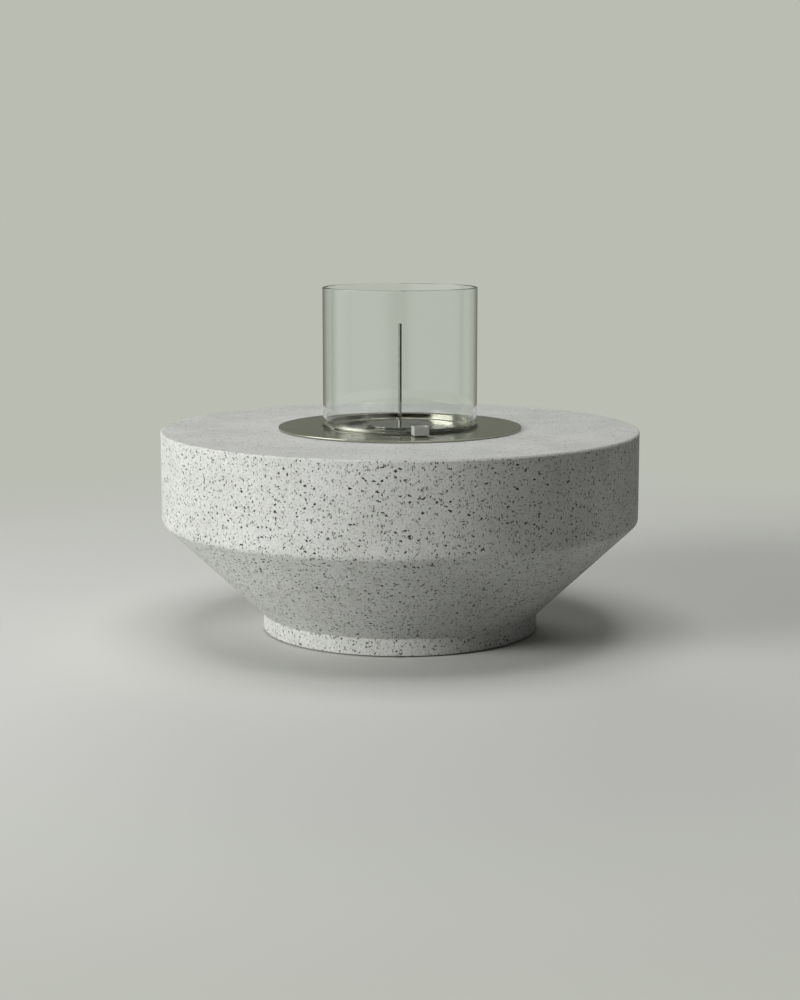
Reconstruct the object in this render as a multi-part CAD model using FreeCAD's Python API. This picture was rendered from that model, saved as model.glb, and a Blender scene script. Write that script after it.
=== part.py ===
import FreeCAD, Part
import math
import os

# Fire pit table: a hollow terrazzo concrete bowl that carries a drop-in liquid fuel burner.
# Millimetres, +Z up. The origin is on the floor, on the axis of the bowl. The front is -Y.
# An azimuth is counted from the front towards +X, so it is also the turn about +Z.

# Bowl, cast in one piece and open underneath
BOWL_RADIUS = 400.0
BOWL_HEIGHT = 340.0
DRUM_HEIGHT = 150.0
FOOT_RADIUS = 232.0
FOOT_HEIGHT = 30.0
BOWL_WALL = 20.0
FOOT_WALL = 36.0
TOP_SLAB = 28.0
TOP_EDGE_ROUND = 3.0
DRUM_EDGE_ROUND = 14.0
FOOT_EDGE_ROUND = 2.5
OPENING_EDGE_ROUND = 1.5
CASTING_ROUND = 16.0

# Rubber pads glued into pockets under the foot
PAD_COUNT = 6
PAD_RADIUS = 14.0
PAD_THICKNESS = 4.0
PAD_POCKET_DEPTH = 2.0

# Stainless surround plate on its gasket
PLATE_OVERLAP = 44.0
PLATE_HOLE_GAP = 1.8
PLATE_THICKNESS = 3.0
PLATE_EDGE_ROUND = 1.2
GASKET_THICKNESS = 1.0
GASKET_SETBACK = 4.0
GASKET_INSET = 6.0

# Heat shield under the plate, a rolled wall welded to a base and a flange, and its insulation
SHIELD_SETBACK = 2.0
SHIELD_WALL = 1.2
FLANGE_GAP = 3.0
UNDER_TANK_GAP = 11.0
SHIELD_BASE_ROUND = 0.8
BOARD_EDGE_GAP = 1.0
VENT_COUNT = 12
VENT_RADIUS = 4.0
VENT_DROP = 15.0
BOARD_THICKNESS = 8.0
WRAP_THICKNESS = 10.0
WRAP_VENT_GAP = 10.0
WRAP_LIFT = 6.0
BAND_COUNT = 2
BAND_WIDTH = 10.0
BAND_THICKNESS = 0.8

# Clamps that hold the plate down on the concrete
CLAMP_COUNT = 4
CLAMP_FIRST_AZIMUTH = 45.0
STUD_STANDOFF = 12.5
OPENING_MARGIN = 10.0
STUD_RADIUS = 3.0
STUD_SPARE = 13.0
THREAD_GAP = 0.1
HOLE_GAP = 0.3
NUT_ACROSS_FLATS = 10.0
NUT_HEIGHT = 5.0
WASHER_RADIUS = 6.0
WASHER_THICKNESS = 1.6
WING_HUB_RADIUS = 5.5
WING_HUB_HEIGHT = 9.0
WING_REACH = 14.0
WING_THICKNESS = 2.5
WING_DROP = 5.0
CLAMP_WIDTH = 20.0
CLAMP_THICKNESS = 3.0
CLAMP_LEG_SETBACK = 8.0
CLAMP_BITE = 30.0

# Burner pan with its raised rim, lip and fuel tank
RIM_RADIUS = 122.2
RIM_HEIGHT = 7.5
PAN_THICKNESS = 1.2
PAN_DROP = 2.8
PAN_CORNER_ROUND = 3.2
RIM_EDGE_ROUND = 0.5
LIP_MARGIN = 2.5
LIP_THICKNESS = 1.2
TANK_SETBACK = 24.2
TANK_WALL = 1.0
TANK_DEPTH = 75.0
TANK_LIP_REACH = 8.0
TANK_CORNER_ROUND = 5.0
WOOL_HEIGHT = 55.0
GRILLE_THICKNESS = 1.0
GRILLE_HOLE_RADIUS = 4.0
GRILLE_RING_PITCH = 16.0
GRILLE_HOLES_PER_RING = 6
GRILLE_MARGIN = 10.0
PORT_COUNT = 6
PORT_HUB_GAP = 5.0
PORT_OUTER_RADIUS = 46.0
PORT_WIDTH_DEG = 24.0
HUB_WASHER_GAP = 4.0
HUB_WALL = 3.5
HUB_PROUD = 1.0

# Flame regulator: a turning plate with a cranked arm and a grip outside the glass
HANDLE_AZIMUTH = 12.8
REGULATOR_MARGIN = 8.0
REGULATOR_THICKNESS = 1.5
ARM_WIDTH = 14.0
ARM_END_SETBACK = 5.0
CRANK_LID_GAP = 5.0
CRANK_RUN = 12.0
ARM_LIFT = 0.3
ARM_HEADROOM = 0.4
SLOT_SIDE_GAP_DEG = 1.0
GRIP_WIDTH = 25.0
GRIP_DEPTH = 20.0
GRIP_HEIGHT = 14.8
GRIP_GLASS_GAP = 8.0
GRIP_LIFT = 1.5
GRIP_WALL = 2.0
GRIP_RECESS_DEPTH = 3.0
GRIP_EDGE_ROUND = 0.6
SCREW_RADIUS = 1.5
SCREW_HEAD_RADIUS = 2.8
SCREW_HEAD_HEIGHT = 1.6

# Snuffer: a lid on a long rod
LID_OVERHANG = 3.0
LID_THICKNESS = 2.5
LID_EDGE_ROUND = 1.2
ROD_RADIUS = 3.0
ROD_LENGTH = 168.0
ROD_END_ROUND = 0.8
ROD_STUB_RADIUS = 2.0
ROD_STUB_GAP = 0.1
ROD_NUT_ACROSS_FLATS = 7.0
ROD_NUT_HEIGHT = 3.2
ROD_WASHER_RADIUS = 4.5
ROD_WASHER_THICKNESS = 0.8
ROD_THREAD_SPARE = 1.0

# Glass tube on silicone pads
GLASS_RIM_GAP = 2.3
GLASS_WALL = 4.5
GLASS_HEIGHT = 228.0
GLASS_EDGE_ROUND = 1.6
GLASS_PAD_AZIMUTHS = (60.0, 180.0, 300.0)
GLASS_ARM_GAP = 1.1
GLASS_PAD_WIDTH_DEG = 6.0
GLASS_PAD_SETBACK = 0.4

# Clearances
SEAT_GAP = 0.1
TURN_GAP = 0.08
WELD_GAP = 0.1
SOFT_GAP = 0.3

# Radii that follow, from the burner's rim outwards
PAN_INNER_RADIUS = RIM_RADIUS - PAN_THICKNESS
GLASS_INNER_RADIUS = RIM_RADIUS + GLASS_RIM_GAP
GLASS_RADIUS = GLASS_INNER_RADIUS + GLASS_WALL
LIP_RADIUS = GLASS_RADIUS + LIP_MARGIN
GRIP_START_RADIUS = GLASS_RADIUS + GRIP_GLASS_GAP
GRIP_END_RADIUS = GRIP_START_RADIUS + GRIP_DEPTH
GRIP_MIDDLE_RADIUS = GRIP_START_RADIUS + GRIP_DEPTH / 2
ARM_END_RADIUS = GRIP_END_RADIUS - ARM_END_SETBACK
PLATE_HOLE_RADIUS = RIM_RADIUS + PLATE_HOLE_GAP
SHIELD_RADIUS = PLATE_HOLE_RADIUS + SHIELD_SETBACK
SHIELD_OUTER_RADIUS = SHIELD_RADIUS + SHIELD_WALL
WRAP_INNER_RADIUS = SHIELD_OUTER_RADIUS + SOFT_GAP
WRAP_OUTER_RADIUS = WRAP_INNER_RADIUS + WRAP_THICKNESS
STUD_CIRCLE_RADIUS = WRAP_OUTER_RADIUS + STUD_STANDOFF
OPENING_RADIUS = STUD_CIRCLE_RADIUS + OPENING_MARGIN
FLANGE_RADIUS = OPENING_RADIUS - FLANGE_GAP
PLATE_RADIUS = OPENING_RADIUS + PLATE_OVERLAP

# Radii that follow, from the rod outwards
HUB_BORE_RADIUS = ROD_WASHER_RADIUS + HUB_WASHER_GAP
HUB_RADIUS = HUB_BORE_RADIUS + HUB_WALL
PORT_INNER_RADIUS = HUB_RADIUS + PORT_HUB_GAP
REGULATOR_RADIUS = PORT_OUTER_RADIUS + REGULATOR_MARGIN
LID_RADIUS = REGULATOR_RADIUS + LID_OVERHANG
CRANK_START_RADIUS = LID_RADIUS + CRANK_LID_GAP
CRANK_END_RADIUS = CRANK_START_RADIUS + CRANK_RUN
TANK_RADIUS = RIM_RADIUS - TANK_SETBACK
TANK_INNER_RADIUS = TANK_RADIUS - TANK_WALL
PAD_CIRCLE_RADIUS = FOOT_RADIUS - FOOT_WALL / 2
HANDLE_TRAVEL_DEG = 2.0 * HANDLE_AZIMUTH

# Heights that follow, from the floor to the plate
CONCRETE_BASE = PAD_THICKNESS - PAD_POCKET_DEPTH
DRUM_BASE = BOWL_HEIGHT - DRUM_HEIGHT
SLAB_UNDERSIDE = BOWL_HEIGHT - TOP_SLAB
PLATE_UNDERSIDE = BOWL_HEIGHT + GASKET_THICKNESS
PLATE_TOP = PLATE_UNDERSIDE + PLATE_THICKNESS

# Heights that follow, from the plate to the top of the glass
LIP_UNDERSIDE = PLATE_TOP + SEAT_GAP
LIP_TOP = LIP_UNDERSIDE + LIP_THICKNESS
PAN_FLOOR = LIP_TOP - PAN_DROP
PAN_UNDERSIDE = PAN_FLOOR - PAN_THICKNESS
RIM_TOP = PLATE_TOP + RIM_HEIGHT
REGULATOR_UNDERSIDE = PAN_FLOOR + SEAT_GAP
REGULATOR_TOP = REGULATOR_UNDERSIDE + REGULATOR_THICKNESS
HUB_TOP = REGULATOR_TOP + HUB_PROUD
ARM_UNDERSIDE = LIP_TOP + ARM_LIFT
ARM_TOP = ARM_UNDERSIDE + REGULATOR_THICKNESS
GRIP_UNDERSIDE = PLATE_TOP + GRIP_LIFT
GRIP_TOP = GRIP_UNDERSIDE + GRIP_HEIGHT
GRIP_RECESS_FLOOR = GRIP_TOP - GRIP_RECESS_DEPTH
LID_UNDERSIDE = HUB_TOP + SEAT_GAP
LID_TOP = LID_UNDERSIDE + LID_THICKNESS
GLASS_PAD_UNDERSIDE = LIP_TOP + SEAT_GAP
GLASS_UNDERSIDE = ARM_TOP + GLASS_ARM_GAP

# Heights that follow, from the plate down into the bowl
TANK_BASE = PAN_UNDERSIDE - TANK_DEPTH
TANK_FLOOR = TANK_BASE + TANK_WALL
WOOL_TOP = TANK_FLOOR + WOOL_HEIGHT
BOARD_TOP = TANK_BASE - UNDER_TANK_GAP
SHIELD_FLOOR = BOARD_TOP - BOARD_THICKNESS
SHIELD_BASE = SHIELD_FLOOR - SHIELD_WALL
FLANGE_UNDERSIDE = PLATE_UNDERSIDE - SHIELD_WALL
VENT_HEIGHT = FLANGE_UNDERSIDE - VENT_DROP
WRAP_LOW = SHIELD_BASE + WRAP_LIFT
WRAP_HIGH = VENT_HEIGHT - VENT_RADIUS - WRAP_VENT_GAP
CLAMP_UNDERSIDE = SLAB_UNDERSIDE - CLAMP_THICKNESS
WING_NUT_TOP = CLAMP_UNDERSIDE - WASHER_THICKNESS
WING_NUT_LOW = WING_NUT_TOP - WING_HUB_HEIGHT

# How far every cutting tool runs past a face, and how near an edge is to a named place
PAST = 1.0
SAME_PLACE = 0.001
HEXAGON_SIDES = 6
FRONT_DEG = -90.0
Z_AXIS = FreeCAD.Vector(0, 0, 1)
CENTRE = FreeCAD.Vector(0, 0, 0)


def ring(outer, inner, low, high):
    """A flat ring about the axis, or a disc when inner is zero."""
    body = Part.makeCylinder(outer, high - low, FreeCAD.Vector(0, 0, low))
    if inner <= 0:
        return body
    hole = Part.makeCylinder(inner, high - low + 2 * PAST, FreeCAD.Vector(0, 0, low - PAST))
    return body.cut(hole)


def lathe(outline):
    """The solid that a closed outline of (radius, height) points makes about the axis."""
    points = [FreeCAD.Vector(r, 0, z) for r, z in outline]
    face = Part.Face(Part.makePolygon(points + points[:1]))
    return face.revolve(CENTRE, Z_AXIS, 360)


def rounded(solid, places):
    """Round the circular edges at each (radius, height, rounding)."""
    for radius, height, rounding in places:
        edges = [
            edge for edge in solid.Edges
            if isinstance(edge.Curve, Part.Circle)
            and abs(edge.Curve.Radius - radius) < SAME_PLACE
            and abs(edge.Curve.Center.z - height) < SAME_PLACE
        ]
        solid = solid.makeFillet(rounding, edges)
    return solid


def turned(solid, azimuth):
    """A copy that is turned about the axis by an azimuth in degrees."""
    copy = solid.copy()
    copy.rotate(CENTRE, Z_AXIS, azimuth)
    return copy


def around(solid, count, first=0.0):
    """Evenly spaced copies about the axis."""
    return [turned(solid, first + 360.0 * step / count) for step in range(count)]


def post(radius, low, high, distance):
    """An upright cylinder at a distance from the axis, towards the front."""
    return Part.makeCylinder(radius, high - low, FreeCAD.Vector(0, -distance, low))


def block(width, near, far, low, high):
    """A radial box towards the front, from the near to the far distance from the axis."""
    return Part.makeBox(width, far - near, high - low, FreeCAD.Vector(-width / 2, -far, low))


def sector(inner, outer, low, high, width_deg):
    """A piece of a ring, centred on the front."""
    wedge = Part.makeCylinder(outer, high - low, FreeCAD.Vector(0, 0, low), Z_AXIS, width_deg)
    core = Part.makeCylinder(inner, high - low + 2 * PAST, FreeCAD.Vector(0, 0, low - PAST))
    return turned(wedge.cut(core), FRONT_DEG - width_deg / 2)


def hexagon(across_flats, low, high, distance):
    """An upright hexagonal prism at a distance from the axis."""
    corner = across_flats / math.sqrt(3)
    points = []
    for step in range(HEXAGON_SIDES):
        angle = 2 * math.pi * step / HEXAGON_SIDES
        points.append(FreeCAD.Vector(corner * math.cos(angle), corner * math.sin(angle) - distance, low))
    face = Part.Face(Part.makePolygon(points + points[:1]))
    return face.extrude(FreeCAD.Vector(0, 0, high - low))


def save(name, *solids):
    """Write one sub-part, which is one solid or a group of separate solids."""
    shape = solids[0] if len(solids) == 1 else Part.makeCompound(list(solids))
    if not shape.isValid() or not shape.Solids:
        raise ValueError("bad shape: " + name)
    shape.exportStep("parts/" + name + ".step")
    print(name, len(shape.Solids), round(shape.Volume / 1000.0, 3), "cm3")


def make_bowl():
    """Top slab, drum wall, cone and foot ring of one casting, with the burner opening."""
    run = BOWL_RADIUS - FOOT_RADIUS
    rise = DRUM_BASE - FOOT_HEIGHT
    slope = rise / run
    lift = BOWL_WALL * math.hypot(run, rise) / run
    inner_radius = BOWL_RADIUS - BOWL_WALL
    foot_inner = FOOT_RADIUS - FOOT_WALL
    cone_inside = [(r, FOOT_HEIGHT + lift + slope * (r - FOOT_RADIUS)) for r in (inner_radius, foot_inner)]
    outline = [
        (foot_inner, CONCRETE_BASE),
        (FOOT_RADIUS, CONCRETE_BASE),
        (FOOT_RADIUS, FOOT_HEIGHT),
        (BOWL_RADIUS, DRUM_BASE),
        (BOWL_RADIUS, BOWL_HEIGHT),
        (OPENING_RADIUS, BOWL_HEIGHT),
        (OPENING_RADIUS, SLAB_UNDERSIDE),
        (inner_radius, SLAB_UNDERSIDE),
        *cone_inside,
    ]
    bowl = rounded(lathe(outline), [
        (BOWL_RADIUS, BOWL_HEIGHT, TOP_EDGE_ROUND),
        (BOWL_RADIUS, DRUM_BASE, DRUM_EDGE_ROUND),
        (FOOT_RADIUS, FOOT_HEIGHT, FOOT_EDGE_ROUND),
        (FOOT_RADIUS, CONCRETE_BASE, FOOT_EDGE_ROUND),
        (OPENING_RADIUS, BOWL_HEIGHT, OPENING_EDGE_ROUND),
        (inner_radius, SLAB_UNDERSIDE, CASTING_ROUND),
        (inner_radius, cone_inside[0][1], CASTING_ROUND),
    ])
    pocket = post(PAD_RADIUS + SOFT_GAP, CONCRETE_BASE - PAST, PAD_THICKNESS, PAD_CIRCLE_RADIUS)
    return bowl.cut(Part.makeCompound(around(pocket, PAD_COUNT)))


def make_foot_pads():
    return around(post(PAD_RADIUS, 0, PAD_THICKNESS, PAD_CIRCLE_RADIUS), PAD_COUNT)


def make_gasket():
    return ring(PLATE_RADIUS - GASKET_SETBACK, OPENING_RADIUS + GASKET_INSET, BOWL_HEIGHT, PLATE_UNDERSIDE)


def make_surround_plate():
    plate = ring(PLATE_RADIUS, PLATE_HOLE_RADIUS, PLATE_UNDERSIDE, PLATE_TOP)
    return rounded(plate, [(PLATE_RADIUS, PLATE_TOP, PLATE_EDGE_ROUND)])


def make_shield_wall():
    """A rolled tube with a row of vents near its top."""
    wall = ring(SHIELD_OUTER_RADIUS, SHIELD_RADIUS, SHIELD_FLOOR, PLATE_UNDERSIDE)
    start = FreeCAD.Vector(0, -SHIELD_RADIUS + PAST, VENT_HEIGHT)
    vent = Part.makeCylinder(VENT_RADIUS, SHIELD_WALL + 2 * PAST, start, FreeCAD.Vector(0, -1, 0))
    return wall.cut(Part.makeCompound(around(vent, VENT_COUNT)))


def make_shield_base():
    """A disc welded under the wall."""
    base = ring(SHIELD_OUTER_RADIUS, 0, SHIELD_BASE, SHIELD_FLOOR)
    return rounded(base, [(SHIELD_OUTER_RADIUS, SHIELD_BASE, SHIELD_BASE_ROUND)])


def make_shield_flange():
    """A flat ring welded round the top of the wall, with holes for the studs."""
    flange = ring(FLANGE_RADIUS, SHIELD_OUTER_RADIUS + WELD_GAP, FLANGE_UNDERSIDE, PLATE_UNDERSIDE)
    hole = post(STUD_RADIUS + HOLE_GAP, FLANGE_UNDERSIDE - PAST, PLATE_UNDERSIDE + PAST, STUD_CIRCLE_RADIUS)
    return flange.cut(Part.makeCompound(around(hole, CLAMP_COUNT, CLAMP_FIRST_AZIMUTH)))


def make_insulation_board():
    return ring(SHIELD_RADIUS - BOARD_EDGE_GAP, 0, SHIELD_FLOOR, BOARD_TOP)


def make_insulation_wrap():
    return ring(WRAP_OUTER_RADIUS, WRAP_INNER_RADIUS, WRAP_LOW, WRAP_HIGH)


def make_wrap_bands():
    """Steel bands round the wrap, in the middle of equal shares of its height."""
    bands = []
    inner = WRAP_OUTER_RADIUS + WELD_GAP
    for step in range(BAND_COUNT):
        middle = WRAP_LOW + (WRAP_HIGH - WRAP_LOW) * (step + 0.5) / BAND_COUNT
        bands.append(ring(inner + BAND_THICKNESS, inner, middle - BAND_WIDTH / 2, middle + BAND_WIDTH / 2))
    return bands


def make_clamp_studs():
    stud = post(STUD_RADIUS, WING_NUT_LOW - STUD_SPARE, PLATE_UNDERSIDE, STUD_CIRCLE_RADIUS)
    return around(stud, CLAMP_COUNT, CLAMP_FIRST_AZIMUTH)


def make_shield_nuts():
    """Hexagon nuts that hold the shield's flange against the plate."""
    low = FLANGE_UNDERSIDE - NUT_HEIGHT
    nut = hexagon(NUT_ACROSS_FLATS, low, FLANGE_UNDERSIDE, STUD_CIRCLE_RADIUS)
    thread = post(STUD_RADIUS + THREAD_GAP, low - PAST, FLANGE_UNDERSIDE + PAST, STUD_CIRCLE_RADIUS)
    return around(nut.cut(thread), CLAMP_COUNT, CLAMP_FIRST_AZIMUTH)


def make_clamp_bars():
    """Bars that bear on the slab at one end and, by a bent leg, on the shield's flange at the other."""
    inner = STUD_CIRCLE_RADIUS - CLAMP_LEG_SETBACK - CLAMP_THICKNESS
    outer = OPENING_RADIUS + CLAMP_BITE
    flat = block(CLAMP_WIDTH, inner, outer, CLAMP_UNDERSIDE, SLAB_UNDERSIDE)
    leg = block(CLAMP_WIDTH, inner, inner + CLAMP_THICKNESS, CLAMP_UNDERSIDE, FLANGE_UNDERSIDE)
    hole = post(STUD_RADIUS + HOLE_GAP, CLAMP_UNDERSIDE - PAST, SLAB_UNDERSIDE + PAST, STUD_CIRCLE_RADIUS)
    bar = flat.fuse(leg).removeSplitter().cut(hole)
    return around(bar, CLAMP_COUNT, CLAMP_FIRST_AZIMUTH)


def make_clamp_washers():
    washer = post(WASHER_RADIUS, WING_NUT_TOP, CLAMP_UNDERSIDE, STUD_CIRCLE_RADIUS)
    hole = post(STUD_RADIUS + HOLE_GAP, WING_NUT_TOP - PAST, CLAMP_UNDERSIDE + PAST, STUD_CIRCLE_RADIUS)
    return around(washer.cut(hole), CLAMP_COUNT, CLAMP_FIRST_AZIMUTH)


def make_wing_nuts():
    """A round hub with two wings that hang below it."""
    hub = post(WING_HUB_RADIUS, WING_NUT_LOW, WING_NUT_TOP, STUD_CIRCLE_RADIUS)
    near = STUD_CIRCLE_RADIUS - WING_THICKNESS / 2
    far = STUD_CIRCLE_RADIUS + WING_THICKNESS / 2
    wing_low = WING_NUT_LOW - WING_DROP
    wings = block(2 * WING_REACH, near, far, wing_low, WING_NUT_TOP - WING_DROP)
    between = block(2 * WING_HUB_RADIUS, near - PAST, far + PAST, wing_low - PAST, WING_NUT_LOW)
    thread = post(STUD_RADIUS + THREAD_GAP, WING_NUT_LOW - PAST, WING_NUT_TOP + PAST, STUD_CIRCLE_RADIUS)
    nut = hub.fuse(wings.cut(between)).removeSplitter().cut(thread)
    return around(nut, CLAMP_COUNT, CLAMP_FIRST_AZIMUTH)


def arm_slot():
    """The gap in the rim that the regulator's arm sweeps through."""
    half_arm = math.degrees(math.asin(ARM_WIDTH / 2 / PAN_INNER_RADIUS))
    width = HANDLE_TRAVEL_DEG + 2 * (half_arm + SLOT_SIDE_GAP_DEG)
    high = ARM_TOP + ARM_HEADROOM
    return sector(PAN_INNER_RADIUS - PAST, RIM_RADIUS + PAST, LIP_TOP, high, width)


def ports(low, high, first):
    """The ring of fan-shaped openings that the fuel vapour rises through."""
    port = sector(PORT_INNER_RADIUS, PORT_OUTER_RADIUS, low, high, PORT_WIDTH_DEG)
    return Part.makeCompound(around(port, PORT_COUNT, first))


def make_burner_pan():
    """A spun pan: the floor with its ports, and the raised rim with the arm's slot."""
    pan = lathe([
        (HUB_BORE_RADIUS, PAN_UNDERSIDE),
        (RIM_RADIUS, PAN_UNDERSIDE),
        (RIM_RADIUS, RIM_TOP),
        (PAN_INNER_RADIUS, RIM_TOP),
        (PAN_INNER_RADIUS, PAN_FLOOR),
        (HUB_BORE_RADIUS, PAN_FLOOR),
    ])
    pan = rounded(pan, [
        (RIM_RADIUS, PAN_UNDERSIDE, PAN_CORNER_ROUND),
        (PAN_INNER_RADIUS, PAN_FLOOR, PAN_CORNER_ROUND - PAN_THICKNESS),
        (RIM_RADIUS, RIM_TOP, RIM_EDGE_ROUND),
        (PAN_INNER_RADIUS, RIM_TOP, RIM_EDGE_ROUND),
    ])
    return pan.cut(arm_slot()).cut(ports(PAN_UNDERSIDE - PAST, PAN_FLOOR + PAST, 0.0))


def make_burner_lip():
    """The ring welded round the rim: it rests on the plate and carries the glass."""
    return ring(LIP_RADIUS, RIM_RADIUS + WELD_GAP, LIP_UNDERSIDE, LIP_TOP)


def make_regulator_hub():
    """The collar that the regulator turns on. It stands proud, so the lid rests on it and not on the plate."""
    return ring(HUB_RADIUS, HUB_BORE_RADIUS, PAN_FLOOR, HUB_TOP)


def make_fuel_tank():
    tank = lathe([
        (0, TANK_BASE),
        (TANK_RADIUS, TANK_BASE),
        (TANK_RADIUS, PAN_UNDERSIDE - TANK_WALL),
        (TANK_RADIUS + TANK_LIP_REACH, PAN_UNDERSIDE - TANK_WALL),
        (TANK_RADIUS + TANK_LIP_REACH, PAN_UNDERSIDE),
        (TANK_INNER_RADIUS, PAN_UNDERSIDE),
        (TANK_INNER_RADIUS, TANK_FLOOR),
        (0, TANK_FLOOR),
    ])
    return rounded(tank, [
        (TANK_RADIUS, TANK_BASE, TANK_CORNER_ROUND),
        (TANK_INNER_RADIUS, TANK_FLOOR, TANK_CORNER_ROUND - TANK_WALL),
    ])


def make_fibre_wool():
    """The absorbent core, with its lower edge eased to the tank's rounded corner."""
    wool = ring(TANK_INNER_RADIUS - SOFT_GAP, 0, TANK_FLOOR, WOOL_TOP)
    return rounded(wool, [(TANK_INNER_RADIUS - SOFT_GAP, TANK_FLOOR, TANK_CORNER_ROUND)])


def make_wool_grille():
    """A perforated disc on the wool: each ring outwards has as many holes more as the first one."""
    high = WOOL_TOP + GRILLE_THICKNESS
    radius = TANK_INNER_RADIUS - SOFT_GAP
    disc = ring(radius, 0, WOOL_TOP, high)
    holes = [post(GRILLE_HOLE_RADIUS, WOOL_TOP - PAST, high + PAST, 0)]
    ring_count = int((radius - GRILLE_MARGIN - GRILLE_HOLE_RADIUS) / GRILLE_RING_PITCH)
    for level in range(1, ring_count + 1):
        hole = post(GRILLE_HOLE_RADIUS, WOOL_TOP - PAST, high + PAST, GRILLE_RING_PITCH * level)
        holes += around(hole, GRILLE_HOLES_PER_RING * level)
    return disc.cut(Part.makeCompound(holes))


def make_regulator_plate():
    """The turning plate, with the arm that is cranked up over the lip, in one sheet."""
    disc = ring(REGULATOR_RADIUS, HUB_RADIUS + TURN_GAP, REGULATOR_UNDERSIDE, REGULATOR_TOP)
    side = [
        (REGULATOR_RADIUS - ARM_WIDTH / 2, REGULATOR_UNDERSIDE),
        (CRANK_START_RADIUS, REGULATOR_UNDERSIDE),
        (CRANK_END_RADIUS, ARM_UNDERSIDE),
        (ARM_END_RADIUS, ARM_UNDERSIDE),
        (ARM_END_RADIUS, ARM_TOP),
        (CRANK_END_RADIUS, ARM_TOP),
        (CRANK_START_RADIUS, REGULATOR_TOP),
        (REGULATOR_RADIUS - ARM_WIDTH / 2, REGULATOR_TOP),
    ]
    points = [FreeCAD.Vector(-ARM_WIDTH / 2, -r, z) for r, z in side]
    face = Part.Face(Part.makePolygon(points + points[:1]))
    arm = turned(face.extrude(FreeCAD.Vector(ARM_WIDTH, 0, 0)), HANDLE_AZIMUTH)
    screw_hole = turned(grip_screw_post(SCREW_RADIUS + THREAD_GAP), HANDLE_AZIMUTH)
    shut = ports(REGULATOR_UNDERSIDE - PAST, REGULATOR_TOP + PAST, HANDLE_TRAVEL_DEG)
    return disc.fuse(arm).removeSplitter().cut(shut).cut(screw_hole)


def grip_screw_post(radius):
    """The upright cylinder that the grip's screw needs, from under the arm to the recess."""
    return post(radius, ARM_UNDERSIDE, GRIP_RECESS_FLOOR, GRIP_MIDDLE_RADIUS)


def make_regulator_grip():
    """A block with a shallow recess on top and a channel underneath for the arm."""
    grip = block(GRIP_WIDTH, GRIP_START_RADIUS, GRIP_END_RADIUS, GRIP_UNDERSIDE, GRIP_TOP)
    grip = grip.makeFillet(GRIP_EDGE_ROUND, grip.Edges)
    recess = block(GRIP_WIDTH - 2 * GRIP_WALL, GRIP_START_RADIUS + GRIP_WALL, GRIP_END_RADIUS - GRIP_WALL,
                   GRIP_RECESS_FLOOR, GRIP_TOP + PAST)
    channel = block(ARM_WIDTH + 2 * THREAD_GAP, GRIP_START_RADIUS - PAST, ARM_END_RADIUS + THREAD_GAP,
                    GRIP_UNDERSIDE - PAST, ARM_TOP + THREAD_GAP)
    screw_hole = grip_screw_post(SCREW_RADIUS + THREAD_GAP)
    return turned(grip.cut(recess).cut(channel).cut(screw_hole), HANDLE_AZIMUTH)


def make_grip_screw():
    """A pan head screw whose head sits in the grip's recess."""
    head = post(SCREW_HEAD_RADIUS, GRIP_RECESS_FLOOR, GRIP_RECESS_FLOOR + SCREW_HEAD_HEIGHT,
                GRIP_MIDDLE_RADIUS)
    return turned(grip_screw_post(SCREW_RADIUS).fuse(head).removeSplitter(), HANDLE_AZIMUTH)


def make_snuffer_lid():
    lid = ring(LID_RADIUS, ROD_STUB_RADIUS + ROD_STUB_GAP, LID_UNDERSIDE, LID_TOP)
    return rounded(lid, [
        (LID_RADIUS, LID_TOP, LID_EDGE_ROUND),
        (LID_RADIUS, LID_UNDERSIDE, LID_EDGE_ROUND),
    ])


def make_snuffer_rod():
    """The rod stands on the lid by its shoulder, and its thin end passes through."""
    rod = ring(ROD_RADIUS, 0, LID_TOP, LID_TOP + ROD_LENGTH)
    rod = rounded(rod, [(ROD_RADIUS, LID_TOP + ROD_LENGTH, ROD_END_ROUND)])
    low = LID_UNDERSIDE - ROD_WASHER_THICKNESS - ROD_NUT_HEIGHT - ROD_THREAD_SPARE
    return rod.fuse(ring(ROD_STUB_RADIUS, 0, low, LID_TOP)).removeSplitter()


def make_rod_washer():
    high = LID_UNDERSIDE
    return ring(ROD_WASHER_RADIUS, ROD_STUB_RADIUS + ROD_STUB_GAP, high - ROD_WASHER_THICKNESS, high)


def make_rod_nut():
    high = LID_UNDERSIDE - ROD_WASHER_THICKNESS
    low = high - ROD_NUT_HEIGHT
    nut = hexagon(ROD_NUT_ACROSS_FLATS, low, high, 0)
    return nut.cut(post(ROD_STUB_RADIUS + ROD_STUB_GAP, low - PAST, high + PAST, 0))


def make_glass_tube():
    high = GLASS_UNDERSIDE + GLASS_HEIGHT
    tube = ring(GLASS_RADIUS, GLASS_INNER_RADIUS, GLASS_UNDERSIDE, high)
    radii = (GLASS_RADIUS, GLASS_INNER_RADIUS)
    return rounded(tube, [(r, z, GLASS_EDGE_ROUND) for r in radii for z in (GLASS_UNDERSIDE, high)])


def make_glass_pads():
    """Short silicone pads under the tube, clear of the sweep of the regulator's arm."""
    outer = GLASS_RADIUS - GLASS_PAD_SETBACK
    inner = GLASS_INNER_RADIUS + GLASS_PAD_SETBACK
    pad = sector(inner, outer, GLASS_PAD_UNDERSIDE, GLASS_UNDERSIDE, GLASS_PAD_WIDTH_DEG)
    return [turned(pad, azimuth) for azimuth in GLASS_PAD_AZIMUTHS]


os.makedirs("parts", exist_ok=True)

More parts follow.
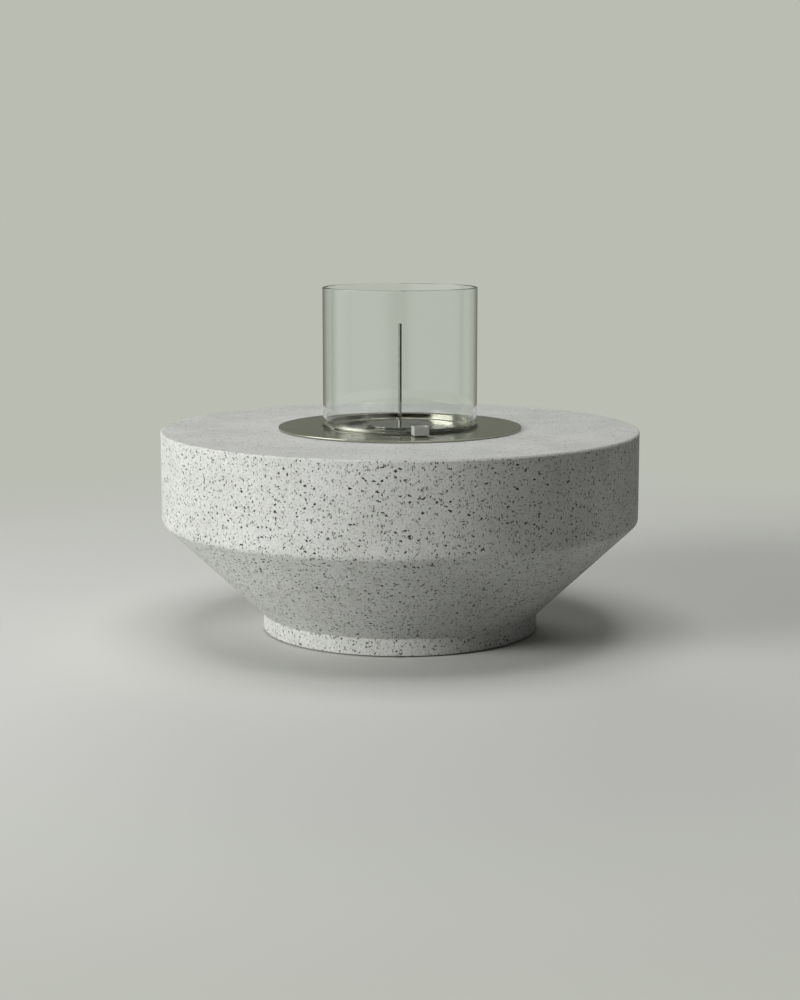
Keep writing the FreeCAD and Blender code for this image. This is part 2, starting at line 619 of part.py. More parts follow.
save("bowl", make_bowl())
save("foot_pads", *make_foot_pads())
save("plate_gasket", make_gasket())
save("surround_plate", make_surround_plate())
save("shield_wall", make_shield_wall())
save("shield_base", make_shield_base())
save("shield_flange", make_shield_flange())
save("insulation_board", make_insulation_board())
save("insulation_wrap", make_insulation_wrap())
save("wrap_bands", *make_wrap_bands())
save("clamp_studs", *make_clamp_studs())
save("shield_nuts", *make_shield_nuts())
save("clamp_bars", *make_clamp_bars())
save("clamp_washers", *make_clamp_washers())
save("wing_nuts", *make_wing_nuts())
save("burner_pan", make_burner_pan())
save("burner_lip", make_burner_lip())
save("regulator_hub", make_regulator_hub())
save("fuel_tank", make_fuel_tank())
save("fibre_wool", make_fibre_wool())
save("wool_grille", make_wool_grille())
save("regulator_plate", make_regulator_plate())
save("regulator_grip", make_regulator_grip())
save("grip_screw", make_grip_screw())
save("snuffer_lid", make_snuffer_lid())
save("snuffer_rod", make_snuffer_rod())
save("rod_washer", make_rod_washer())
save("rod_nut", make_rod_nut())
save("glass_tube", make_glass_tube())
save("glass_pads", *make_glass_pads())
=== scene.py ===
# %% [markdown]
# A low fire pit table: a speckled concrete bowl that carries a steel burner under a glass tube.
# The shapes with exact sizes come ready made in the frame. This lesson gives them their
# finishes, and makes again what the frame holds only as plain blocks: the threaded studs, the
# nuts, the rubber pads, the strapped blanket and the wool. Each step says first what the real
# thing is and how it could be made, so that the choice can be followed.

# %% Load the frame and keep its box
from math import cos, degrees, exp, pi, radians, sin, sqrt, tan

import bmesh
import bpy
from mathutils import Matrix, Vector, noise


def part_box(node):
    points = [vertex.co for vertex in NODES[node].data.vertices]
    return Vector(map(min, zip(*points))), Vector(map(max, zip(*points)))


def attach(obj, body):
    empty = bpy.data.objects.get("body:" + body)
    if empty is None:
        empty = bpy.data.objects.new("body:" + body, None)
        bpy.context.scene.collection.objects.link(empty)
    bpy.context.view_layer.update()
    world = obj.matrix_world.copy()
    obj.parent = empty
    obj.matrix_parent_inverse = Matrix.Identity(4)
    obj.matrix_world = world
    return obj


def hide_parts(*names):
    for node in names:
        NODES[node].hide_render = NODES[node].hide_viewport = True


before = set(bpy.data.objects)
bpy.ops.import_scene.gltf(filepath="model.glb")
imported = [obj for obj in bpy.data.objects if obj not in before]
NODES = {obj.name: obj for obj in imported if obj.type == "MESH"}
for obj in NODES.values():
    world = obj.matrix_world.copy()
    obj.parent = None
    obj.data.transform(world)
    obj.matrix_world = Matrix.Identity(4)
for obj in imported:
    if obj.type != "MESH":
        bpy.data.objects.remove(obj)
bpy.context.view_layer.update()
MM = 0.001

# %% [markdown]
# Colours are written as hex values, as a paint chart gives them. Blender's shaders count in
# linear light, so one function turns each pair of digits with the sRGB curve. Node trees are
# long to write out by hand. A single helper that adds a node, sets it and links its inputs
# keeps each step to a line or two, and it serves shaders and Geometry Nodes alike. Its part
# that fills inputs serves nodes that are there already, too. Inputs go by name, or in order
# where the order says enough: the terms of a sum, or a Map Range, which takes a value, the
# range that it has and the range that it gets.

# %% Helpers for colours and nodes
SRGB_KNEE = 0.04045


def linear(hex_colour):
    """An sRGB hex colour as linear red, green, blue and alpha."""
    channels = []
    for start in (1, 3, 5):
        value = int(hex_colour[start:start + 2], 16) / 255
        dark = value / 12.92
        light = ((value + 0.055) / 1.055) ** 2.4
        channels.append(dark if value <= SRGB_KNEE else light)
    return (*channels, 1.0)


def feed(node, inputs):
    """Fill inputs of a node: a socket, or a node's first output, is linked, a value is set."""
    for key, value in inputs.items() if isinstance(inputs, dict) else enumerate(inputs):
        if isinstance(value, bpy.types.Node):
            value = value.outputs[0]
        if isinstance(value, bpy.types.NodeSocket):
            node.id_data.links.new(value, node.inputs[key])
        else:
            node.inputs[key].default_value = value


def add(tree, kind, inputs=(), **settings):
    """Add a node to a tree, with its settings and its inputs."""
    node = tree.nodes.new(kind)
    for name, value in settings.items():
        setattr(node, name, value)
    feed(node, inputs)
    return node


def new_material(name):
    """A material with its node tree and its Principled shader."""
    material = bpy.data.materials.new(name)
    material.use_nodes = True
    return material, material.node_tree, material.node_tree.nodes["Principled BSDF"]


def plain_mesh(name, shape):
    """A mesh of a bmesh, which is freed."""
    mesh = bpy.data.meshes.new(name)
    shape.to_mesh(mesh)
    shape.free()
    return mesh


def new_object(name, data, material=None):
    """An object at the origin, in the scene, in a material if one is given."""
    if material:
        data.materials.append(material)
    made = bpy.data.objects.new(name, data)
    bpy.context.scene.collection.objects.link(made)
    return made


print("mid grey in linear light:", round(linear("#808080")[0], 3))

# %% [markdown]
# The camera comes first, because every finish is judged through it. It stands in front of
# the table, a little over twice as high as its top, and looks down by nine degrees through a
# short telephoto lens, which keeps the ellipses of the bowl calm. Height and distance are
# real lengths, so the same camera would take the same picture in a studio.

# %% Camera
CAMERA_DISTANCE = 3.2444
CAMERA_HEIGHT = 0.733
CAMERA_TILT_DEG = 9.03
LENS_MM = 69.94

camera_data = bpy.data.cameras.new("camera")
camera_data.lens = LENS_MM
camera_data.sensor_width = 36.0
camera = new_object("camera", camera_data)
camera.location = (0.0, -CAMERA_DISTANCE, CAMERA_HEIGHT)
camera.rotation_euler = (radians(90 - CAMERA_TILT_DEG), 0.0, 0.0)
bpy.context.scene.camera = camera
bpy.context.scene.view_settings.view_transform = "Standard"
print("camera looks at the axis at a height of", round(
    CAMERA_HEIGHT - CAMERA_DISTANCE * tan(radians(CAMERA_TILT_DEG)), 3), "m")

# %% [markdown]
# The floor is a plain pale disc. It could be a plane, but a disc has its edge equally far
# away in every view. Lamps light only the middle of it, so further out it turns by itself
# into an even backdrop: there the shader changes from paint to plain emission, for the rays
# that look at it. A pale floor also throws much light up under the bowl. In the picture the
# underside is half dark, so the floor gives back less to the object than the camera sees.
# Light Path tells the two apart. Glossy and transmission rays see what the camera sees.

# %% Floor
FLOOR_RADIUS = 12.0
FLOOR_SIDES = 128
FLOOR_SEEN = "#DCDDD8"
FLOOR_GIVEN_BACK = "#B8B9B6"
BACKDROP = "#BABDB2"
FLOOR_FADE_START = 0.8
FLOOR_FADE_END = 2.1


def seen_rays(tree):
    """One where a ray comes from the camera, a gloss or a transmission, and zero elsewhere."""
    path = add(tree, "ShaderNodeLightPath").outputs
    clear = add(tree, "ShaderNodeMath", (path["Is Camera Ray"], path["Is Glossy Ray"]),
                operation="MAXIMUM")
    return add(tree, "ShaderNodeMath", (clear, path["Is Transmission Ray"]), operation="MAXIMUM")


floor_material, tree, paint = new_material("pale_painted_floor")
seen = seen_rays(tree)
floor_colour = add(tree, "ShaderNodeMix", {
    0: seen, 6: linear(FLOOR_GIVEN_BACK), 7: linear(FLOOR_SEEN)}, data_type="RGBA")
feed(paint, {"Base Color": floor_colour.outputs[2], "Roughness": 0.9, "Specular IOR Level": 0.1})
place = add(tree, "ShaderNodeTexCoord").outputs["Object"]
reach = add(tree, "ShaderNodeVectorMath", (place,), operation="LENGTH").outputs["Value"]
far = add(tree, "ShaderNodeMapRange", (reach, FLOOR_FADE_START, FLOOR_FADE_END),
          interpolation_type="SMOOTHSTEP")
share = add(tree, "ShaderNodeMath", (far, seen), operation="MULTIPLY")
even = add(tree, "ShaderNodeEmission", {"Color": linear(BACKDROP)})
surface = add(tree, "ShaderNodeMixShader", (share, paint, even))
feed(tree.nodes["Material Output"], {"Surface": surface})

disc = bmesh.new()
bmesh.ops.create_circle(disc, cap_ends=True, segments=FLOOR_SIDES, radius=FLOOR_RADIUS)
floor = new_object("floor", plain_mesh("floor", disc), floor_material)
print("floor:", 2 * FLOOR_RADIUS, "m across, even from", FLOOR_FADE_END, "m outwards")

# %% [markdown]
# The main light comes in low from the left, as through a window: it makes the left of the bowl
# bright, lets the front fall to mid grey and lays the shadow to the right. A wide lamp overhead
# lights the flat top, a weaker one behind keeps the back from going dark, and a very weak one
# fills the shade. Each was lit alone first, and its power set by the tones of the bowl. Steel
# and glass mirror none of them: they get cards of their own in the next step. The world adds
# next to nothing, and where the camera or a gloss sees it, it is the backdrop.

# %% Lamps and world
# Name, degrees left of the front and up, distance, width and height in metres, and watts.
LAMPS = (
    ("window_lamp", 60, 14, 5.0, 2.1, 1.6, 210),
    ("sky_lamp", 0, 88, 6.0, 4.0, 4.0, 172),
    ("right_fill", -60, 10, 3.6, 1.6, 1.0, 2),
    ("back_lamp", 178, 20, 5.0, 2.4, 1.6, 62),
)
LAMP_AIM = Vector((0.0, 0.0, 0.25))
WORLD_LIGHT = "#F4F5F6"
WORLD_STRENGTH = 0.01


def toward(azimuth_left, elevation):
    """A unit vector from the table to a place, in degrees left of the front and up."""
    side, up = radians(azimuth_left), radians(elevation)
    return Vector((-sin(side) * cos(up), -cos(side) * cos(up), sin(up)))


for name, azimuth, elevation, distance, width, height, watts in LAMPS:
    data = bpy.data.lights.new(name, "AREA")
    data.shape = "RECTANGLE"
    data.size, data.size_y, data.energy = width, height, watts
    lamp = new_object(name, data)
    lamp.location = LAMP_AIM + toward(azimuth, elevation) * distance
    lamp.rotation_euler = toward(azimuth, elevation).to_track_quat("Z", "Y").to_euler()
    lamp.visible_glossy = lamp.visible_transmission = False

world = bpy.data.worlds.new("studio")
bpy.context.scene.world = world
world.use_nodes = True
tree = world.node_tree
seen = seen_rays(tree)
world_colour = add(tree, "ShaderNodeMix", {
    0: seen, 6: linear(WORLD_LIGHT), 7: linear(BACKDROP)}, data_type="RGBA")
world_strength = add(tree, "ShaderNodeMapRange", (seen, 0, 1, WORLD_STRENGTH, 1))
feed(tree.nodes["Background"], {"Color": world_colour.outputs[2], "Strength": world_strength})

# %% [markdown]
# Polished steel looks like what stands round it, and in an even pale room it looks like
# plaster. A photographer puts cards round it: a bright one where the window is, one overhead,
# and dark ones, called flags, beside the camera, which give the steel its dark side. Here a
# bent wall of card goes all the way round, dark in front, pale at the sides and mid grey
# behind. Only reflections meet the cards: they throw no shadow and don't show in the view.
# The bright ones fade out at their ends, so that the glass has no hard patch. The one overhead
# goes from light to dark in soft bands, because under an even one a flat steel plate looks
# like cream paper from above.

# %% Cards for the reflections
WALL_RADIUS = 2.6
WALL_LOW, WALL_HIGH = 0.0, 2.4
# How far left of the front in degrees, with the right below zero, and the colour there.
WALL_TONES = (
    (-158, "#7E8076"), (-140, "#A2A499"), (-115, "#A2A499"), (-90, "#3A3B36"), (-45, "#3A3B36"),
    (-20, "#454640"), (50, "#454640"), (104, "#A2A499"), (140, "#A2A499"), (158, "#7E8076"))
WINDOW_RADIUS = 2.4
WINDOW_LOW, WINDOW_HIGH = 0.6, 2.2
WINDOW_FROM_DEG, WINDOW_TO_DEG = 50, 104
WINDOW_GLOW = 4.2
SILL_LOW, SILL_HIGH = 0.0, 0.6
SILL_FROM_DEG, SILL_TO_DEG = 4, 122
SILL_GLOW = 0.8
# The part of its length over which a bright card fades out at each end.
CARD_FADE = 0.2
CEILING_RADIUS, CEILING_HEIGHT = 1.6, 2.6
CEILING_BAND, CEILING_BAND_SHIFT = 0.42, 0.12
CEILING_DIM, CEILING_GLOW = 0.3, 1.3
CARD_STEPS = 48
FACE_UV = ((0, 0), (1, 0), (1, 1), (0, 1))


def set_card(name, shape, material):
    """A card that only reflections see, from a bmesh."""
    card = new_object(name, plain_mesh(name, shape), material)
    card.visible_camera = card.visible_diffuse = card.visible_shadow = False


def bent_card(name, radius, low, high, from_deg, to_deg, material):
    """An upright card bent round the table, with a UV that runs along and up it."""
    shape = bmesh.new()
    layer = shape.loops.layers.uv.new("card")
    edges = []
    for step in range(CARD_STEPS + 1):
        foot = toward(from_deg + (to_deg - from_deg) * step / CARD_STEPS, 0) * radius
        edges.append([shape.verts.new(foot + Vector((0.0, 0.0, z))) for z in (low, high)])
    for step, ((low_a, high_a), (low_b, high_b)) in enumerate(zip(edges, edges[1:])):
        face = shape.faces.new((low_a, low_b, high_b, high_a))
        for loop, (along, up) in zip(face.loops, FACE_UV):
            loop[layer].uv = ((step + along) / CARD_STEPS, up)
    set_card(name, shape, material)


def card_material(name):
    """A glowing card, clear to a ray that has met no gloss, with its tree and Emission shader.

    Without that, the camera would see the cards through the glass tube."""
    material, tree, _ = new_material(name)
    material.cycles.emission_sampling = "NONE"
    glow = add(tree, "ShaderNodeEmission")
    clear = add(tree, "ShaderNodeBsdfTransparent")
    mirrored = add(tree, "ShaderNodeLightPath").outputs["Glossy Depth"]
    once = add(tree, "ShaderNodeMath", (mirrored, 0.5), operation="GREATER_THAN")
    mix = add(tree, "ShaderNodeMixShader", (once, clear, glow))
    feed(tree.nodes["Material Output"], {"Surface": mix})
    return material, tree, glow


wall_material, tree, glow = card_material("grey_card")
place = add(tree, "ShaderNodeTexCoord").outputs["Object"]
parts = add(tree, "ShaderNodeSeparateXYZ", (place,)).outputs
# From the front round by the left, this angle grows from minus to plus half a turn.
leftwards = add(tree, "ShaderNodeMath", (parts["X"], parts["Y"]), operation="ARCTAN2")
way_round = add(tree, "ShaderNodeMapRange", (leftwards, -pi, pi))
tones = add(tree, "ShaderNodeValToRGB", (way_round,))
stops = tones.color_ramp.elements
stops.remove(stops[1])
for number, (azimuth, colour) in enumerate(WALL_TONES):
    position = azimuth / 360 % 1
    stop = stops.new(position) if number else stops[0]
    stop.position = position
    stop.color = linear(colour)
feed(glow, {"Color": tones})
bent_card("grey_wall", WALL_RADIUS, WALL_LOW, WALL_HIGH, 0, 360, wall_material)


def fading_material(name, strength):
    """A bright card that fades out towards its two ends."""
    material, tree, glow = card_material(name)
    place = add(tree, "ShaderNodeTexCoord").outputs["UV"]
    along = add(tree, "ShaderNodeSeparateXYZ", (place,)).outputs["X"]
    inwards = add(tree, "ShaderNodeMath", (along, 0.5), operation="PINGPONG")
    fade = add(tree, "ShaderNodeMapRange", (inwards, 0, CARD_FADE, 0, strength),
               interpolation_type="SMOOTHSTEP")
    feed(glow, {"Strength": fade})
    return material


bent_card("window_card", WINDOW_RADIUS, WINDOW_LOW, WINDOW_HIGH, WINDOW_FROM_DEG, WINDOW_TO_DEG,
          fading_material("bright_card", WINDOW_GLOW))
bent_card("sill_card", WINDOW_RADIUS, SILL_LOW, SILL_HIGH, SILL_FROM_DEG, SILL_TO_DEG,
          fading_material("pale_card", SILL_GLOW))

ceiling_material, tree, glow = card_material("ceiling_card")
place = add(tree, "ShaderNodeTexCoord").outputs["Object"]
across = add(tree, "ShaderNodeSeparateXYZ", (place,)).outputs["X"]
shifted = add(tree, "ShaderNodeMath", (across, CEILING_BAND_SHIFT), operation="ADD")
bands = add(tree, "ShaderNodeMath", (shifted, CEILING_BAND), operation="PINGPONG")
soft = add(tree, "ShaderNodeMapRange", (bands, 0, CEILING_BAND, CEILING_GLOW, CEILING_DIM),
           interpolation_type="SMOOTHSTEP")
feed(glow, {"Strength": soft})
round_card = bmesh.new()
bmesh.ops.create_circle(round_card, cap_ends=True, segments=CARD_STEPS, radius=CEILING_RADIUS)
bmesh.ops.translate(round_card, verts=round_card.verts, vec=(0.0, 0.0, CEILING_HEIGHT))
set_card("ceiling_card", round_card, ceiling_material)
print("cards: bright from", WINDOW_FROM_DEG, "to", WINDOW_TO_DEG, "degrees left of the front")

# %% [markdown]
# The bowl is terrazzo concrete: white cement with crushed black and grey stone in it. On a
# ground face the stones show as small flat islands. An image could paint them, but a solid
# texture is nearer to the real stuff: a 3-D Voronoi texture puts one stone in each cell, and
# the surface cuts through it at whatever height it lies, so the islands differ in size by
# themselves. A fine noise bends the space first, which gives the stones broken edges. Three
# sizes of stone are laid over each other, from sand to chips, and only a share of the cells
# is used, so they bunch and leave gaps as real ones do.

# %% Stone layers for the concrete
# Name, cell in mm, stretch along X and Y and along Z, share of the cells, least and most radius
# in mm, darkest and palest colour. The sand is about twice as coarse as real sand, or it
# would not show.
STONES = (
    ("sand", 3.0, (1.0, 1.0), 0.34, 0.5, 1.2, "#84867F", "#BBBCB6"),
    ("grit", 3.8, (0.8, 1.4), 0.37, 0.7, 1.8, "#30322E", "#8C8D87"),
    ("chips", 5.2, (1.3, 0.8), 0.17, 0.8, 2.2, "#151614", "#4A4B47"),
)
STONE_EDGE_MM = 0.25
STONE_BEND_MM = 3.2
STONE_BEND_PATTERN_MM = 3.6


def stone_layer(tree, place, cell, stretch, share, least, most):
    """Where the stones of one size show, and a random number for each stone's colour."""
    across, upright = stretch
    squeezed = add(tree, "ShaderNodeMapping", {
        "Vector": place, "Scale": (1 / across, 1 / across, 1 / upright)})
    cells = add(tree, "ShaderNodeTexVoronoi", {"Vector": squeezed, "Scale": 1 / (cell * MM)})
    dice = add(tree, "ShaderNodeSeparateColor", (cells.outputs["Color"],)).outputs
    used = add(tree, "ShaderNodeMath", (dice["Red"], share), operation="LESS_THAN")
    radius = add(tree, "ShaderNodeMapRange", (dice["Green"], 0, 1, least / cell, most / cell))
    outside = add(tree, "ShaderNodeMath", (cells, radius), operation="SUBTRACT")
    edge = STONE_EDGE_MM / cell
    inside = add(tree, "ShaderNodeMapRange", (outside, edge, -edge))
    shown = add(tree, "ShaderNodeMath", (inside, used), operation="MULTIPLY")
    return shown, dice["Blue"]


print("stones per square cm, about:", {
    name: round((least + most) * share / cell ** 3 * 100, 2)
    for name, cell, stretch, share, least, most, *_ in STONES})

# %% [markdown]
# The cement between the stones isn't one flat tone either. It clouds over a hand's breadth
# where it dried unevenly, and has a fine tooth from the blasting. The stones wear a little
# below the cement, which the bump shows. The top is trowelled: a skin of cement covers its
# stones, so they show only faintly above the rounded edge, which the height in the frame gives.

# %% Concrete
CEMENT_PALE = "#E2E3DF"
CEMENT_DULL = "#D5D6D1"
CLOUD_MM = 90.0
CLOUD_LOW, CLOUD_HIGH = 0.35, 0.65
TOOTH_MM = 3.0
TOOTH_DEPTH_MM = 0.55
TOOTH_DARK, TOOTH_LIGHT = 0.80, 1.08
STONE_DEPTH_MM = 0.35
# Below the top, how deep the rounded edge and the trowelled skin reach.
EDGE_ROUND_MM, TROWELLED_MM = 3.0, 0.3
TOP_STONES_LEFT = 0.42
CEMENT_ROUGHNESS, STONE_ROUGHNESS = 0.82, 0.5
# A noise texture keeps mostly to the middle of its range, so this part of it is spread out.
NOISE_LOW, NOISE_HIGH = 0.3, 0.7


def terrazzo_concrete():
    """White terrazzo concrete, cast and lightly blasted: matte, with dark flat stones."""
    material, tree, shader = new_material("white_terrazzo_concrete_cast_and_blasted")
    place = add(tree, "ShaderNodeTexCoord").outputs["Object"]
    bend = add(tree, "ShaderNodeTexNoise", {
        "Vector": place, "Scale": 1 / (STONE_BEND_PATTERN_MM * MM), "Detail": 2.0})
    middle = add(tree, "ShaderNodeVectorMath", (bend.outputs["Color"], (0.5, 0.5, 0.5)),
                 operation="SUBTRACT")
    bent = add(tree, "ShaderNodeVectorMath", (middle, (2 * STONE_BEND_MM * MM,) * 3, place),
               operation="MULTIPLY_ADD")

    clouds = add(tree, "ShaderNodeTexNoise", {
        "Vector": place, "Scale": 1 / (CLOUD_MM * MM), "Detail": 4.0, "Roughness": 0.6})
    cloud_range = add(tree, "ShaderNodeMapRange", (clouds, CLOUD_LOW, CLOUD_HIGH))
    cement = add(tree, "ShaderNodeMix", {
        0: cloud_range, 6: linear(CEMENT_DULL), 7: linear(CEMENT_PALE)}, data_type="RGBA")
    tooth = add(tree, "ShaderNodeTexNoise", {
        "Vector": place, "Scale": 1 / (TOOTH_MM * MM), "Detail": 3.0, "Roughness": 0.7})
    tooth_shade = add(tree, "ShaderNodeMapRange", (
        tooth, NOISE_LOW, NOISE_HIGH, TOOTH_DARK, TOOTH_LIGHT))
    colour = add(tree, "ShaderNodeVectorMath", {0: cement.outputs[2], "Scale": tooth_shade},
                 operation="SCALE")

    height = add(tree, "ShaderNodeSeparateXYZ", (place,)).outputs["Z"]
    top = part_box("bowl")[1].z
    fade = add(tree, "ShaderNodeMapRange", (
        height, top - EDGE_ROUND_MM * MM, top - TROWELLED_MM * MM, 1, TOP_STONES_LEFT))
    sunk = 0.0
    for name, *sizes, dark, pale in STONES:
        shown, dice = stone_layer(tree, bent, *sizes)
        amount = add(tree, "ShaderNodeMath", (shown, fade), operation="MULTIPLY")
        stone = add(tree, "ShaderNodeMix", {0: dice, 6: linear(dark), 7: linear(pale)},
                    data_type="RGBA").outputs[2]
        colour = add(tree, "ShaderNodeMix", {0: amount, 6: colour, 7: stone},
                     data_type="RGBA").outputs[2]
        sunk = add(tree, "ShaderNodeMath", (sunk, amount), operation="MAXIMUM")
    gloss = add(tree, "ShaderNodeMapRange", (sunk, 0, 1, CEMENT_ROUGHNESS, STONE_ROUGHNESS))
    fine = add(tree, "ShaderNodeBump", {
        "Height": tooth, "Distance": TOOTH_DEPTH_MM * MM, "Strength": 0.8})
    pits = add(tree, "ShaderNodeBump", {
        "Height": sunk, "Distance": STONE_DEPTH_MM * MM, "Strength": 0.6, "Normal": fine},
        invert=True)
    feed(shader, {"Base Color": colour, "Roughness": gloss, "Normal": pits,
                  "Specular IOR Level": 0.35})
    return material


def dress(material, *names):
    """Give frame nodes a material in place of the plain one that they came with."""
    for name in names:
        for slot in NODES[name].material_slots:
            slot.material = material
    print(material.name, "dresses", ", ".join(names))


dress(terrazzo_concrete(), "bowl")

# %% [markdown]
# Stainless steel shows up here in seven finishes, told apart by the way they were worked and,
# in part, by painted shade. The surround plate is brushed in one direction, the pan is spun, so
# its marks run round the axis, and the sheets inside are left as the mill rolled them. A brushed
# line is a tenth of a millimetre wide, too fine for the picture, so the lines are drawn ten times
# as coarse and very faint. All of them share one function: a noise is squeezed along the
# direction of the marks, and drives the roughness and a shallow bump. Metal keeps its default
# IOR. Its colour is partly the steel's own and partly painted reflection: most finishes are
# darker and more olive than clean steel, as steel looks when it mirrors a dim, olive room.

# %% Stainless steel finishes
ROLLED, LINEAR, TURNED = "rolled", "linear", "turned"
MARK_WIDTH_MM = 1.1
MARK_LENGTH_MM = 70.0
SMEAR_MM = 45.0
MARK_DARK, MARK_LIGHT = 0.94, 1.04
# The fine marks and the smears are two noises, and their sum lies mostly between these.
SUM_LOW, SUM_HIGH = 0.7, 1.3
UNPOLISHED = 0.25
PAN_WALL_MM = 0.6


def worked_steel(name, colour, roughness, marks, mark_depth_mm, uneven=0.25, metallic=1.0,
                 dull_beyond_mm=None):
    """Steel with rolled, linear or turned marks. Turned steel may be dull past a radius."""
    material, tree, shader = new_material(name)
    place = add(tree, "ShaderNodeTexCoord").outputs["Object"]
    fine, long = 1 / (MARK_WIDTH_MM * MM), 1 / (MARK_LENGTH_MM * MM)
    if marks == TURNED:
        parts = add(tree, "ShaderNodeSeparateXYZ", (place,)).outputs
        flat = add(tree, "ShaderNodeCombineXYZ", (parts["X"], parts["Y"]))
        radius = add(tree, "ShaderNodeVectorMath", (flat,), operation="LENGTH").outputs["Value"]
        outwards = add(tree, "ShaderNodeMath", (radius, parts["Z"]), operation="ADD")
        squeezed = add(tree, "ShaderNodeMath", (outwards, fine / long), operation="MULTIPLY")
        pattern = add(tree, "ShaderNodeCombineXYZ", (squeezed, parts["X"], parts["Y"]))
        scale = long
    else:
        stretch = (long / fine, 1.0, 1.0) if marks == LINEAR else (1.0, 1.0, 1.0)
        pattern = add(tree, "ShaderNodeMapping", {"Vector": place, "Scale": stretch})
        scale = fine
    lines = add(tree, "ShaderNodeTexNoise", {
        "Vector": pattern, "Scale": scale, "Detail": 3.0, "Roughness": 0.65})
    smears = add(tree, "ShaderNodeTexNoise", {
        "Vector": place, "Scale": 1 / (SMEAR_MM * MM), "Detail": 3.0})
    both = add(tree, "ShaderNodeMath", (lines, smears), operation="ADD")
    rough = add(tree, "ShaderNodeMapRange", (
        both, SUM_LOW, SUM_HIGH, roughness * (1 - uneven), roughness * (1 + uneven)))
    if dull_beyond_mm:
        outer = add(tree, "ShaderNodeMath", (radius, dull_beyond_mm * MM),
                    operation="GREATER_THAN")
        rough = add(tree, "ShaderNodeMath", (outer, UNPOLISHED, rough), operation="MULTIPLY_ADD")
    tone = add(tree, "ShaderNodeMapRange", (
        lines, NOISE_LOW, NOISE_HIGH, MARK_DARK, MARK_LIGHT))
    tinted = add(tree, "ShaderNodeVectorMath", {0: linear(colour)[:3], "Scale": tone},
                 operation="SCALE")
    bump = add(tree, "ShaderNodeBump", {
        "Height": lines, "Distance": mark_depth_mm * MM, "Strength": 0.5})
    feed(shader, {"Base Color": tinted, "Metallic": metallic, "Roughness": rough, "Normal": bump})
    return material


# These colours are partly painted reflection: most are darker and more olive than clean steel.
dress(worked_steel("stainless_sheet_brushed", "#B9B9AC", 0.22, LINEAR, 0.018), "surround_plate")
# The polishing wheel runs round inside the pan, so the outer side of its wall stays dull.
dress(worked_steel("stainless_sheet_spun_and_polished", "#B6B6A9", 0.12, TURNED, 0.004,
                   dull_beyond_mm=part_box("burner_pan")[1].x / MM - PAN_WALL_MM), "burner_pan")
# Satin steel is far darker than the rest: painted shade for the dark room that it mirrors.
dress(worked_steel("stainless_sheet_satin_and_painted_shade", "#83837A", 0.12, TURNED, 0.006),
      "snuffer_lid", "regulator_plate")
dress(worked_steel("stainless_ring_turned", "#94948A", 0.40, TURNED, 0.012), "burner_lip")
mill = worked_steel("stainless_sheet_mill_finish", "#A9A9A4", 0.30, ROLLED, 0.01)
dress(mill, "shield_wall", "shield_base", "shield_flange", "fuel_tank", "wool_grille",
      "regulator_hub", "wrap_bands")
dress(worked_steel("stainless_bar_polished", "#BDBDB6", 0.12, TURNED, 0.004), "snuffer_rod")
# The blasted skin is so torn that it scatters light as paint does, so it is only half metallic.
dress(worked_steel("stainless_block_bead_blasted", "#D4D4D1", 0.6, ROLLED, 0.05, metallic=0.5),
      "regulator_grip")

# %% [markdown]
# The tube is borosilicate glass, drawn and cut, with fire polished rims. It is a real tube with
# a wall, so it bends the view only at its sides and rims. Glass throws a full shadow in a path
# tracer unless it can follow every bent ray, so the light of the lamps is let straight through
# it: where Light Path says shadow ray, the shader is transparent in the glass's own tint.

# %% Glass
GLASS_TINT = "#FCFEFD"


def clear_glass():
    """Borosilicate glass, clear with a breath of green where one looks along the wall."""
    material, tree, shader = new_material("borosilicate_glass_drawn")
    feed(shader, {"Base Color": linear(GLASS_TINT), "Roughness": 0.0, "IOR": 1.47,
                  "Transmission Weight": 1.0})
    through = add(tree, "ShaderNodeBsdfTransparent", {"Color": linear(GLASS_TINT)})
    shadow = add(tree, "ShaderNodeLightPath").outputs["Is Shadow Ray"]
    mix = add(tree, "ShaderNodeMixShader", (shadow, shader, through))
    feed(tree.nodes["Material Output"], {"Surface": mix})
    return material


dress(clear_glass(), "glass_tube")

# %% [markdown]
# What is left is plain stuff without marks from a tool: rubber, silicone, fibre board, blanket
# and wool. They differ in two tones, a roughness and the size of their grain, so one function
# makes them all. Zinc plated steel is steel again, bluish and uneven, because the bath leaves a
# thin layer that scatters. The silicone pads under the glass are milky, and let some light in.

# %% Rubber, ceramic fibre and zinc
def grained(name, dark, pale, roughness, grain_mm, depth_mm, sheen=0.0):
    """A matte stuff of two tones that mix in grains, with a bump of the same grains."""
    material, tree, shader = new_material(name)
    place = add(tree, "ShaderNodeTexCoord").outputs["Object"]
    grain = add(tree, "ShaderNodeTexNoise", {
        "Vector": place, "Scale": 1 / (grain_mm * MM), "Detail": 5.0, "Roughness": 0.7})
    spread = add(tree, "ShaderNodeMapRange", (grain, NOISE_LOW, NOISE_HIGH))
    tone = add(tree, "ShaderNodeMix", {0: spread, 6: linear(dark), 7: linear(pale)},
               data_type="RGBA")
    bump = add(tree, "ShaderNodeBump", {
        "Height": grain, "Distance": depth_mm * MM, "Strength": 0.7})
    feed(shader, {"Base Color": tone.outputs[2], "Roughness": roughness, "Normal": bump,
                  "Sheen Weight": sheen})
    return material


rubber = grained("epdm_rubber_moulded", "#1B1B1A", "#2A2A28", 0.75, 1.5, 0.05)
blanket = grained("ceramic_fibre_blanket_needled", "#DDD9CD", "#F3F1EA", 1.0, 7.0, 1.2, 0.3)
wool = grained("ceramic_fibre_wool_felted", "#D8D5CA", "#F1EFE8", 1.0, 5.0, 1.5, 0.4)
zinc = worked_steel("steel_sheet_and_screws_zinc_plated", "#A7ABAE", 0.32, ROLLED, 0.01, 0.35)
